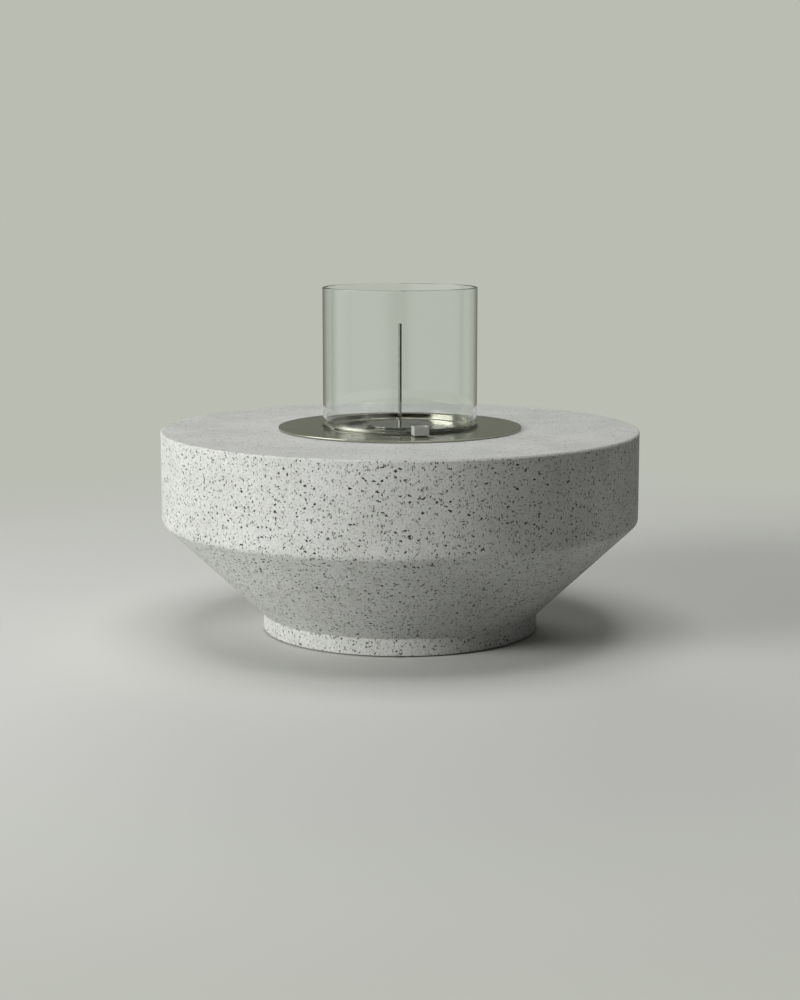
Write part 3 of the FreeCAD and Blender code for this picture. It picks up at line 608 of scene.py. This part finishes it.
# Silicone without pigment is milky and soft edged: it lets light in but shows nothing behind it.
milky, _, shader = new_material("silicone_rubber_clear_cast")
feed(shader, {"Base Color": linear("#E6EAE6"), "Roughness": 0.35, "IOR": 1.41,
              "Transmission Weight": 0.7})
dress(grained("silicone_rubber_cut_from_sheet", "#1E1E1D", "#282827", 0.5, 4.0, 0.03),
      "plate_gasket")
dress(grained("ceramic_fibre_board_pressed", "#D9D2C2", "#EDE8DB", 0.95, 3.0, 0.25),
      "insulation_board")
dress(zinc, "clamp_bars")
dress(milky, "glass_pads")

# %% [markdown]
# Nuts, washers and pads are turned or pressed round an axis. A Screw modifier could turn an
# outline, but a nut is round inside and six sided outside. So each is a loft: a stack of
# closed rings of points, joined ring to ring. Where the last ring joins the first, the
# solid has a bore. Where it doesn't, the two ends are capped. A ring is a circle, or takes
# its radius from the angle, which makes a hexagon.

# %% Lofts from rings of points
RING_SIDES = 48
# Parts of a nut's width across its flats: the radius of its plain face, and the countersink.
NUT_FACE, NUT_SINK = 0.47, 0.08
NUT_CHAMFER_DEG = 30


def around(turn, radius, height):
    """A point round the Z axis, from an angle, and a radius and height in mm."""
    return Vector((radius * cos(turn), radius * sin(turn), height)) * MM


def ring(radius, height, sides=RING_SIDES):
    """Points round the Z axis. Radius and height are numbers or functions of the angle."""
    points = []
    for step in range(sides):
        turn = 2 * pi * step / sides
        reach = radius(turn) if callable(radius) else radius
        rise = height(turn) if callable(height) else height
        points.append(around(turn, reach, rise))
    return points


def hexagon(across):
    """The radius of a hexagon as a function of the angle."""
    return lambda turn: across / 2 / cos(turn % (pi / 3) - pi / 6)


def loft(name, rings, bored=True):
    """A mesh through rings of points, with a bore where the last ring meets the first."""
    shape = bmesh.new()
    rows = [[shape.verts.new(point) for point in points] for points in rings]
    follow = rows[1:] + rows[:1] if bored else rows[1:]
    for low, high in zip(rows, follow):
        for step in range(len(low)):
            shape.faces.new((low[step - 1], low[step], high[step], high[step - 1]))
    if not bored:
        shape.faces.new(rows[0])
        shape.faces.new(rows[-1])
    bmesh.ops.recalc_face_normals(shape, faces=shape.faces)
    return plain_mesh(name, shape)


def turned(name, outline, bored=True, sides=RING_SIDES):
    """A solid of rings: the outline is a list of radius and height in mm."""
    return loft(name, [ring(radius, height, sides) for radius, height in outline], bored)


def hex_nut(name, across, bore, low, high):
    """A nut with chamfered corners and a countersunk bore."""
    side, face, sink = hexagon(across), NUT_FACE * across, NUT_SINK * across
    slope = tan(radians(NUT_CHAMFER_DEG))

    def drop(turn):
        return (side(turn) - face) * slope

    return turned(name, [
        (bore, low + sink), (bore + sink, low), (face, low),
        (side, lambda turn: low + drop(turn)), (side, lambda turn: high - drop(turn)),
        (face, high), (bore + sink, high), (bore, high - sink)])


def washer(name, radius, bore, low, high, rounding=0.2):
    """A punched washer with its edges worn round."""
    return turned(name, [
        (bore, low + rounding), (bore + rounding, low),
        (radius - rounding, low), (radius, low + rounding),
        (radius, high - rounding), (radius - rounding, high),
        (bore + rounding, high), (bore, high - rounding)])


print("a ring has", len(ring(1.0, 0.0)), "points")

# %% [markdown]
# Four clamps and six pads stand on circles round the axis. Each could be set by hand. Here one
# is made on the axis at its real height, its outer side along X, and a small Geometry Nodes tree
# puts copies of it on a circle and turns each one outwards. The export keeps no instances, so
# every tree ends by making them real, and its result is kept as a plain mesh.

# %% A tree that sets copies on a circle
SHARP_DEG = 35


def new_tree(name, inputs):
    """A Geometry Nodes tree with named inputs, and the outputs of its input node."""
    tree = bpy.data.node_groups.new(name, "GeometryNodeTree")
    for label, kind in inputs.items():
        tree.interface.new_socket(label, in_out="INPUT", socket_type="NodeSocket" + kind)
    tree.interface.new_socket("Geometry", in_out="OUTPUT", socket_type="NodeSocketGeometry")
    return tree, add(tree, "NodeGroupInput").outputs


def close_tree(tree, geometry, material):
    """End a tree in real geometry that wears a material."""
    real = add(tree, "GeometryNodeRealizeInstances", (geometry,))
    worn = add(tree, "GeometryNodeSetMaterial", {"Geometry": real, "Material": material})
    add(tree, "NodeGroupOutput", (worn,))


def grow(name, tree, values):
    """Run a tree once with these inputs, and keep what it makes as a plain mesh."""
    grown = new_object(name, bpy.data.meshes.new(name))
    modifier = grown.modifiers.new("tree", "NODES")
    modifier.node_group = tree
    for item in tree.interface.items_tree:
        if item.in_out == "INPUT":
            modifier[item.identifier] = values[item.name]
    shown = grown.evaluated_get(bpy.context.evaluated_depsgraph_get())
    mesh = bpy.data.meshes.new_from_object(shown)
    grown.modifiers.clear()
    grown.data = mesh
    return grown


def hand_over(piece, body, slot, *nodes):
    """Shade a piece, let it ride on its body, and let it stand for its frame nodes."""
    piece.data.shade_smooth()
    piece.data.set_sharp_from_angle(angle=radians(SHARP_DEG))
    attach(piece, body)
    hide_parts(*nodes)
    print(piece.name + ":", len(piece.data.polygons), "faces, stands for", ", ".join(nodes))


tree, given = new_tree("copies_on_a_circle", {
    "Part": "Object", "Count": "Int", "Radius": "Float", "First Angle": "Float",
    "Material": "Material"})
circle_tree = tree
circle = add(tree, "GeometryNodeMeshCircle", {
    "Vertices": given["Count"], "Radius": given["Radius"]})
start = add(tree, "ShaderNodeCombineXYZ", {"Z": given["First Angle"]})
placed = add(tree, "GeometryNodeTransform", {"Geometry": circle, "Rotation": start})
here = add(tree, "GeometryNodeInputPosition")
spot = add(tree, "ShaderNodeSeparateXYZ", (here,)).outputs
turn = add(tree, "ShaderNodeMath", (spot["Y"], spot["X"]), operation="ARCTAN2")
facing = add(tree, "ShaderNodeCombineXYZ", {"Z": turn})
part = add(tree, "GeometryNodeObjectInfo", {"Object": given["Part"]})
copies = add(tree, "GeometryNodeInstanceOnPoints", {
    "Points": placed, "Instance": part.outputs["Geometry"], "Rotation": facing})
close_tree(tree, copies, given["Material"])


def on_circle(name, mesh, circle, material):
    """Copies of a mesh on a circle: its count, its radius in mm and its first angle in degrees."""
    count, radius_mm, first_deg = circle
    pattern = new_object("pattern", mesh)
    made = grow(name, circle_tree, {
        "Part": pattern, "Count": count, "Radius": radius_mm * MM,
        "First Angle": radians(first_deg), "Material": material})
    bpy.data.objects.remove(pattern)
    return made


print("tree", circle_tree.name, "has", len(circle_tree.nodes), "nodes")

# %% [markdown]
# The table stands on six rubber pads. A moulded pad has a rounded edge and ribs underneath, so
# that it grips a wet terrace, and a cylinder would show neither.

# %% Rubber pads under the foot
PAD_CIRCLE = (6, 214, -90)
PAD_OUTLINE = [
    (2.4, 0.0), (4.0, 0.0), (4.4, 0.7), (5.8, 0.7), (6.2, 0.0), (8.0, 0.0), (8.4, 0.7),
    (9.8, 0.7), (10.2, 0.0), (12.8, 0.0), (13.6, 0.3), (14.0, 1.0), (14.0, 4.0)]
pads = on_circle("rubber_pads", turned("pad", PAD_OUTLINE, bored=False), PAD_CIRCLE, rubber)
hand_over(pads, "base", "black_rubber", "foot_pads")

# %% [markdown]
# A screw thread is a helix. It could be a cut by a swept tooth, but there is a shorter way: on
# a cylinder with many rings, a point is in a groove or on a crest by its height along the pitch
# less its turn round the axis. A Geometry Nodes tree works that out for every point at once
# and moves it in or out. A chamfer at both ends lets the nut start.

# %% Threaded studs
THREAD_SIDES = 16
RINGS_A_TURN = 4
CLAMP_CIRCLE = (4, 150, -45)
STUD_LOW, STUD_HIGH = 285.4, 341.0
STUD_RADIUS, STUD_PITCH, STUD_DEPTH = 3.0, 1.0, 0.55

tree, given = new_tree("threaded_bar", {
    "Radius": "Float", "Length": "Float", "Pitch": "Float", "Depth": "Float", "Rings": "Int",
    "Material": "Material"})
bar = add(tree, "GeometryNodeMeshCylinder", {
    "Vertices": THREAD_SIDES, "Side Segments": given["Rings"], "Radius": given["Radius"],
    "Depth": given["Length"]})
here = add(tree, "GeometryNodeInputPosition")
spot = add(tree, "ShaderNodeSeparateXYZ", (here,)).outputs
angle = add(tree, "ShaderNodeMath", (spot["Y"], spot["X"]), operation="ARCTAN2")
share = add(tree, "ShaderNodeMath", (angle, 2 * pi), operation="DIVIDE")
climb = add(tree, "ShaderNodeMath", (spot["Z"], given["Pitch"]), operation="DIVIDE")
phase = add(tree, "ShaderNodeMath", (climb, share), operation="SUBTRACT")
wave = add(tree, "ShaderNodeMath", (phase, 0.5), operation="PINGPONG")
groove = add(tree, "ShaderNodeMath", (wave, 2.0), operation="MULTIPLY")
half = add(tree, "ShaderNodeMath", (given["Length"], 0.5), operation="MULTIPLY")
end = add(tree, "ShaderNodeMath", (spot["Z"],), operation="ABSOLUTE")
inset = add(tree, "ShaderNodeMath", (half, end), operation="SUBTRACT")
tip = add(tree, "ShaderNodeMapRange", (inset, 0, given["Pitch"], 1, 0))
cut = add(tree, "ShaderNodeMath", (groove, tip), operation="MAXIMUM")
deep = add(tree, "ShaderNodeMath", (given["Depth"], given["Radius"]), operation="DIVIDE")
loss = add(tree, "ShaderNodeMath", (cut, deep), operation="MULTIPLY")
left = add(tree, "ShaderNodeMath", (1.0, loss), operation="SUBTRACT")
shrink = add(tree, "ShaderNodeCombineXYZ", (left, left, 1.0))
moved = add(tree, "ShaderNodeVectorMath", (here, shrink), operation="MULTIPLY")
threaded = add(tree, "GeometryNodeSetPosition", {"Geometry": bar, "Position": moved})
close_tree(tree, threaded, given["Material"])

stud = grow("stud", tree, {
    "Radius": STUD_RADIUS * MM, "Length": (STUD_HIGH - STUD_LOW) * MM,
    "Pitch": STUD_PITCH * MM, "Depth": STUD_DEPTH * MM,
    "Rings": int((STUD_HIGH - STUD_LOW) / STUD_PITCH * RINGS_A_TURN), "Material": zinc})
stud_mesh = stud.data
stud_mesh.transform(Matrix.Translation((0.0, 0.0, (STUD_LOW + STUD_HIGH) / 2 * MM)))
bpy.data.objects.remove(stud)
studs = on_circle("threaded_studs", stud_mesh, CLAMP_CIRCLE, zinc)
hand_over(studs, "base", "zinc_steel", "clamp_studs")

# %% [markdown]
# Each stud carries a nut that holds the shield's flange, then the clamp bar, a washer and a
# wing nut that is turned by hand from below. A wing nut is cast: a conical hub with two round
# lobes, and every edge soft. The lobe is an outline, lofted through its thickness with a
# smaller outline at each face, which rounds it.

# %% Nuts, washers and wing nuts
# Across the flats or radius, radius of the bore, lower and upper face, all in mm.
SHIELD_NUT = (10, 3.1, 334.8, 339.8)
CLAMP_WASHER = (6, 3.3, 307.4, 309)
HUB_OUTLINE = [
    (3.1, 299.0), (3.6, 298.4), (4.3, 298.4), (4.8, 298.9), (5.4, 306.2), (5.5, 307.4),
    (3.6, 307.4), (3.1, 306.9)]
WING_ROOT, WING_LOW, WING_HIGH = 4.0, 299.4, 305.6
LOBE_ACROSS, LOBE_UP, LOBE_RADIUS = 9.5, 297.9, 4.5
LOBE_FROM_DEG, LOBE_TO_DEG = 78, -125
LOBE_STEPS = 14
WING_HALF = 1.25
WING_ROUND = 0.4


def wing_outline(side, inset):
    """The outline of one wing in the YZ plane, drawn in by an inset in mm."""
    corners = [(WING_ROOT + inset, WING_LOW + inset), (WING_ROOT + inset, WING_HIGH - inset)]
    reach = LOBE_RADIUS - inset
    for step in range(LOBE_STEPS + 1):
        turn = radians(LOBE_FROM_DEG + (LOBE_TO_DEG - LOBE_FROM_DEG) * step / LOBE_STEPS)
        corners.append((LOBE_ACROSS + reach * cos(turn), LOBE_UP + reach * sin(turn)))
    return [(side * across, height) for across, height in corners]


def wing(side):
    """One wing of a wing nut, to the left or right of its hub."""
    flat = WING_HALF - WING_ROUND
    layers = ((-WING_HALF, WING_ROUND), (-flat, 0), (flat, 0), (WING_HALF, WING_ROUND))
    return loft("wing", [
        [Vector((depth, across, height)) * MM for across, height in wing_outline(side, inset)]
        for depth, inset in layers], bored=False)


def joined(name, meshes):
    """One mesh of several."""
    whole = bmesh.new()
    for mesh in meshes:
        whole.from_mesh(mesh)
    return plain_mesh(name, whole)


wing_nut = joined("wing_nut", [turned("hub", HUB_OUTLINE), wing(-1), wing(1)])
for name, mesh, node in (
        ("hex_nuts", hex_nut("nut", *SHIELD_NUT), "shield_nuts"),
        ("punched_washers", washer("washer", *CLAMP_WASHER), "clamp_washers"),
        ("cast_wing_nuts", wing_nut, "wing_nuts")):
    hand_over(on_circle(name, mesh, CLAMP_CIRCLE, zinc), "base", "zinc_steel", node)

# %% [markdown]
# Single screws and nuts sit where only a lifted snuffer or a close look shows them. The rod is
# held under its lid by a washer and a small nut. The grip is held by a button head screw with
# a hexagon socket: its loft goes up the shaft, over the head and down into the socket.

# %% Rod nut, rod washer and grip screw
ROD_NUT = (7, 2.1, 341.2, 344.4)
ROD_WASHER = (4.5, 2.1, 344.4, 345.2)
SCREW_RADIUS, SCREW_AZIMUTH_DEG = 147, 12.8
SOCKET_ACROSS = 1.9
SOCKET = hexagon(SOCKET_ACROSS)
SCREW_OUTLINE = [
    (1.2, 345.6), (1.5, 345.9), (1.5, 357.3), (2.7, 357.3), (2.8, 357.5), (2.7, 358.0),
    (2.3, 358.5), (1.7, 358.9), (SOCKET, 358.9), (SOCKET, 357.7), (0.3, 357.6)]

screw = turned("button_screw", SCREW_OUTLINE, bored=False)
azimuth = radians(SCREW_AZIMUTH_DEG)
away = Vector((SCREW_RADIUS * sin(azimuth), -SCREW_RADIUS * cos(azimuth), 0.0)) * MM
screw.transform(Matrix.Translation(away))
for name, mesh, body, node in (
        ("small_nut", hex_nut("nut", *ROD_NUT), "snuffer", "rod_nut"),
        ("small_washer", washer("washer", *ROD_WASHER, rounding=0.12), "snuffer", "rod_washer"),
        ("button_screw", screw, "regulator", "grip_screw")):
    hand_over(new_object(name, mesh, zinc), body, "zinc_steel", node)

# %% [markdown]
# The shield is wrapped in a blanket of ceramic fibre, laid round once with its end lapped over
# its start and held by two steel bands. The bands draw it in, and it swells between them. A
# simulation could squeeze it, but a wrap this thin only swells in the one way: so its outer
# radius is worked out from the height between the bands, the lap, and a little noise.

# %% Insulation blanket
BLANKET_INNER, BLANKET_OUTER = 127.5, 136.4
BLANKET_LOW, BLANKET_HIGH = 252.1, 310.8
BLANKET_SIDES, BLANKET_ROWS = 240, 44
BAND_MIDDLES = (266.8, 296.1)
BAND_HALF = 5.0
SWELL = 1.7
# At its ends the blanket is as slack as if the next band were this far beyond them.
FREE_END = 6
SOFT_EDGE = 3.5
LAP_AT_DEG = 205
LAP_STEP, LAP_RUN_DEG = 0.9, 34
# The lumps: how deep, how many lie along a radian, and how high each is.
WOBBLE, WOBBLE_A_RADIAN, WOBBLE_HEIGHT = 0.35, 9, 9


def lap(turn):
    """How far the lapped end lifts the surface: a step, then a slow run-out."""
    past = (degrees(turn) - LAP_AT_DEG) % 360
    return LAP_STEP * max(0.0, 1 - past / LAP_RUN_DEG)


def swell(height):
    """Zero under a band and at the ends, and one midway between."""
    stops = (BLANKET_LOW - FREE_END, *BAND_MIDDLES, BLANKET_HIGH + FREE_END)
    below = max(stop for stop in stops if stop <= height)
    above = min(stop for stop in stops if stop > height)
    gap = min(abs(height - middle) for middle in BAND_MIDDLES) - BAND_HALF
    share = gap / (above - below - 2 * BAND_HALF)
    return sin(pi * min(1.0, max(0.0, share)))


def blanket_radius(turn, height):
    """Outer radius of the blanket in mm, at an angle and a height."""
    across, along = cos(turn) * WOBBLE_A_RADIAN, sin(turn) * WOBBLE_A_RADIAN
    lump = noise.noise(Vector((across, along, height / WOBBLE_HEIGHT)))
    ends = min(height - BLANKET_LOW, BLANKET_HIGH - height)
    rounded = SOFT_EDGE - sqrt(SOFT_EDGE ** 2 - (SOFT_EDGE - min(ends, SOFT_EDGE)) ** 2)
    return BLANKET_OUTER + (SWELL + lap(turn) + WOBBLE * lump) * swell(height) - rounded


blanket_rings = []
for row in range(BLANKET_ROWS + 1):
    height = BLANKET_LOW + (BLANKET_HIGH - BLANKET_LOW) * row / BLANKET_ROWS
    blanket_rings.append(ring(lambda turn: blanket_radius(turn, height), height, BLANKET_SIDES))
for height in (BLANKET_HIGH, BLANKET_LOW):
    blanket_rings.append(ring(BLANKET_INNER, height, BLANKET_SIDES))
wrap = new_object("fibre_blanket", loft("fibre_blanket", blanket_rings), blanket)
hand_over(wrap, "base", "ceramic_blanket", "insulation_wrap")

# %% [markdown]
# Each band is a steel strap, 10 mm wide, drawn tight and closed by a crimped seal. The strap
# is a turned ring, and the seal a short sleeve bent to the same radius, with two crimps that
# narrow it.

# %% Blanket bands with their seals
BAND_INNER, BAND_OUTER = 136.5, 137.2
STRAP_SHY, STRAP_ROUND, STRAP_SIDES = 0.1, 0.2, 192
SEAL_INNER, SEAL_OUTER, SEAL_HALF = 137.1, 138.1, 6.0
SEAL_ROUND = 0.3
SEAL_AT_DEG, SEAL_SPAN_DEG = 230, 11
SEAL_STEPS = 16
# Where the crimps are along the seal, their half length as a part of it, and their depths.
CRIMPS = (0.3, 0.7)
CRIMP_HALF, CRIMP_IN, CRIMP_UP = 0.07, 0.4, 0.9


def strap(middle):
    """A strap round the blanket at a height in mm, with softened edges."""
    low, high = middle - BAND_HALF + STRAP_SHY, middle + BAND_HALF - STRAP_SHY
    return turned("strap", [
        (BAND_INNER, low), (BAND_OUTER - STRAP_ROUND, low), (BAND_OUTER, low + STRAP_ROUND),
        (BAND_OUTER, high - STRAP_ROUND), (BAND_OUTER - STRAP_ROUND, high), (BAND_INNER, high)],
        sides=STRAP_SIDES)


def seal(middle):
    """The crimped sleeve that closes a strap."""
    rings = []
    for step in range(SEAL_STEPS + 1):
        along = step / SEAL_STEPS
        turn = radians(SEAL_AT_DEG + SEAL_SPAN_DEG * (along - 0.5))
        pinch = max(exp(-((along - crimp) / CRIMP_HALF) ** 2) for crimp in CRIMPS)
        outer, half = SEAL_OUTER - CRIMP_IN * pinch, SEAL_HALF - CRIMP_UP * pinch
        lower = [(SEAL_INNER, -half), (outer - SEAL_ROUND, -half), (outer, SEAL_ROUND - half)]
        section = lower + [(reach, -rise) for reach, rise in reversed(lower)]
        rings.append([around(turn, reach, middle + rise) for reach, rise in section])
    return loft("seal", rings, bored=False)


straps_and_seals = [make(middle) for middle in BAND_MIDDLES for make in (strap, seal)]
bands = new_object("sealed_bands", joined("sealed_bands", straps_and_seals), mill)
hand_over(bands, "base", "plain_stainless", "wrap_bands")

# %% [markdown]
# The tank is packed with ceramic wool that soaks up the fuel. It is felted, so its top is
# crowned and lumpy, and loose fibres lie on it. The body is a loft that follows the tank
# with a soft edge. The fibres are a Geometry Nodes tree: it scatters points on the top with a
# fixed seed and lays a short bent hair on each, turned at random.

# %% Ceramic wool
WOOL_RADIUS, WOOL_LOW, WOOL_HIGH = 96.7, 267.3, 322.3
WOOL_SIDES, WOOL_TOP_RINGS = 96, 22
WOOL_EDGE, WOOL_SHY = 6.0, 1.5
WOOL_LUMP, WOOL_LUMP_WIDTH = 1.1, 11
# Fibres lie on the upper few millimetres, and have a little room under the grille.
FIBRE_DEPTH, FIBRE_ROOM = 4, 1.2
FIBRE_LENGTH, FIBRE_RADIUS = 9.0, 0.12
FIBRE_BOW = 0.25
FIBRE_TILT = 0.12
FIBRE_STEPS, FIBRE_SIDES = 5, 3
FIBRES_A_SQUARE_METRE = 60000.0
FIBRE_SEED = 7


def wool_top(radius, turn):
    """Height of the felted top in mm."""
    place = Vector((radius * cos(turn), radius * sin(turn), 0.0)) / WOOL_LUMP_WIDTH
    return WOOL_HIGH - FIBRE_ROOM - WOOL_LUMP * (0.5 + noise.noise(place))


wool_rings = [ring(reach, height, WOOL_SIDES) for reach, height in (
    (WOOL_RADIUS - WOOL_EDGE, WOOL_LOW), (WOOL_RADIUS, WOOL_LOW + WOOL_EDGE),
    (WOOL_RADIUS, WOOL_HIGH - WOOL_EDGE - 2 * WOOL_LUMP))]
for step in range(WOOL_TOP_RINGS):
    reach = (WOOL_RADIUS - WOOL_SHY) * (1 - step / WOOL_TOP_RINGS)
    soft = WOOL_EDGE * max(0.0, (reach - WOOL_RADIUS + WOOL_EDGE) / WOOL_EDGE) ** 2
    wool_rings.append(ring(reach, lambda turn: wool_top(reach, turn) - soft, WOOL_SIDES))
wool_body = new_object("wool_body", loft("wool_body", wool_rings, bored=False), wool)

tree, given = new_tree("loose_fibres", {
    "Body": "Object", "Density": "Float", "Length": "Float", "Thickness": "Float",
    "Top": "Float", "Seed": "Int", "Material": "Material"})
body = add(tree, "GeometryNodeObjectInfo", {"Object": given["Body"]}).outputs["Geometry"]
here = add(tree, "GeometryNodeInputPosition")
height = add(tree, "ShaderNodeSeparateXYZ", (here,)).outputs["Z"]
upper = add(tree, "ShaderNodeMath", (height, given["Top"]), operation="GREATER_THAN")
points = add(tree, "GeometryNodeDistributePointsOnFaces", {
    "Mesh": body, "Selection": upper, "Density": given["Density"], "Seed": given["Seed"]})
bow = add(tree, "ShaderNodeMath", (given["Length"], FIBRE_BOW), operation="MULTIPLY")
bent = add(tree, "ShaderNodeCombineXYZ", {"Y": bow})
start, end = [add(tree, "ShaderNodeVectorMath", {0: (sign, 0.0, 0.0), "Scale": given["Length"]},
                  operation="SCALE") for sign in (-0.5, 0.5)]
hair = add(tree, "GeometryNodeCurveQuadraticBezier", {
    "Resolution": FIBRE_STEPS, "Start": start, "Middle": bent, "End": end})
section = add(tree, "GeometryNodeCurvePrimitiveCircle", {
    "Resolution": FIBRE_SIDES, "Radius": given["Thickness"]})
solid = add(tree, "GeometryNodeCurveToMesh", {
    "Curve": hair, "Profile Curve": section, "Fill Caps": True})
spin = add(tree, "FunctionNodeRandomValue", {
    "Min": (-FIBRE_TILT, -FIBRE_TILT, 0.0), "Max": (FIBRE_TILT, FIBRE_TILT, 2 * pi),
    "Seed": given["Seed"]}, data_type="FLOAT_VECTOR")
hairs = add(tree, "GeometryNodeInstanceOnPoints", {
    "Points": points, "Instance": solid, "Rotation": spin})
both = add(tree, "GeometryNodeJoinGeometry", {"Geometry": body})
feed(both, {"Geometry": hairs})
close_tree(tree, both, given["Material"])

felt = grow("felted_wool", tree, {
    "Body": wool_body, "Density": FIBRES_A_SQUARE_METRE, "Length": FIBRE_LENGTH * MM,
    "Thickness": FIBRE_RADIUS * MM, "Top": (WOOL_HIGH - FIBRE_DEPTH) * MM, "Seed": FIBRE_SEED,
    "Material": wool})
bpy.data.objects.remove(wool_body)
hand_over(felt, "burner", "ceramic_wool", "fibre_wool")
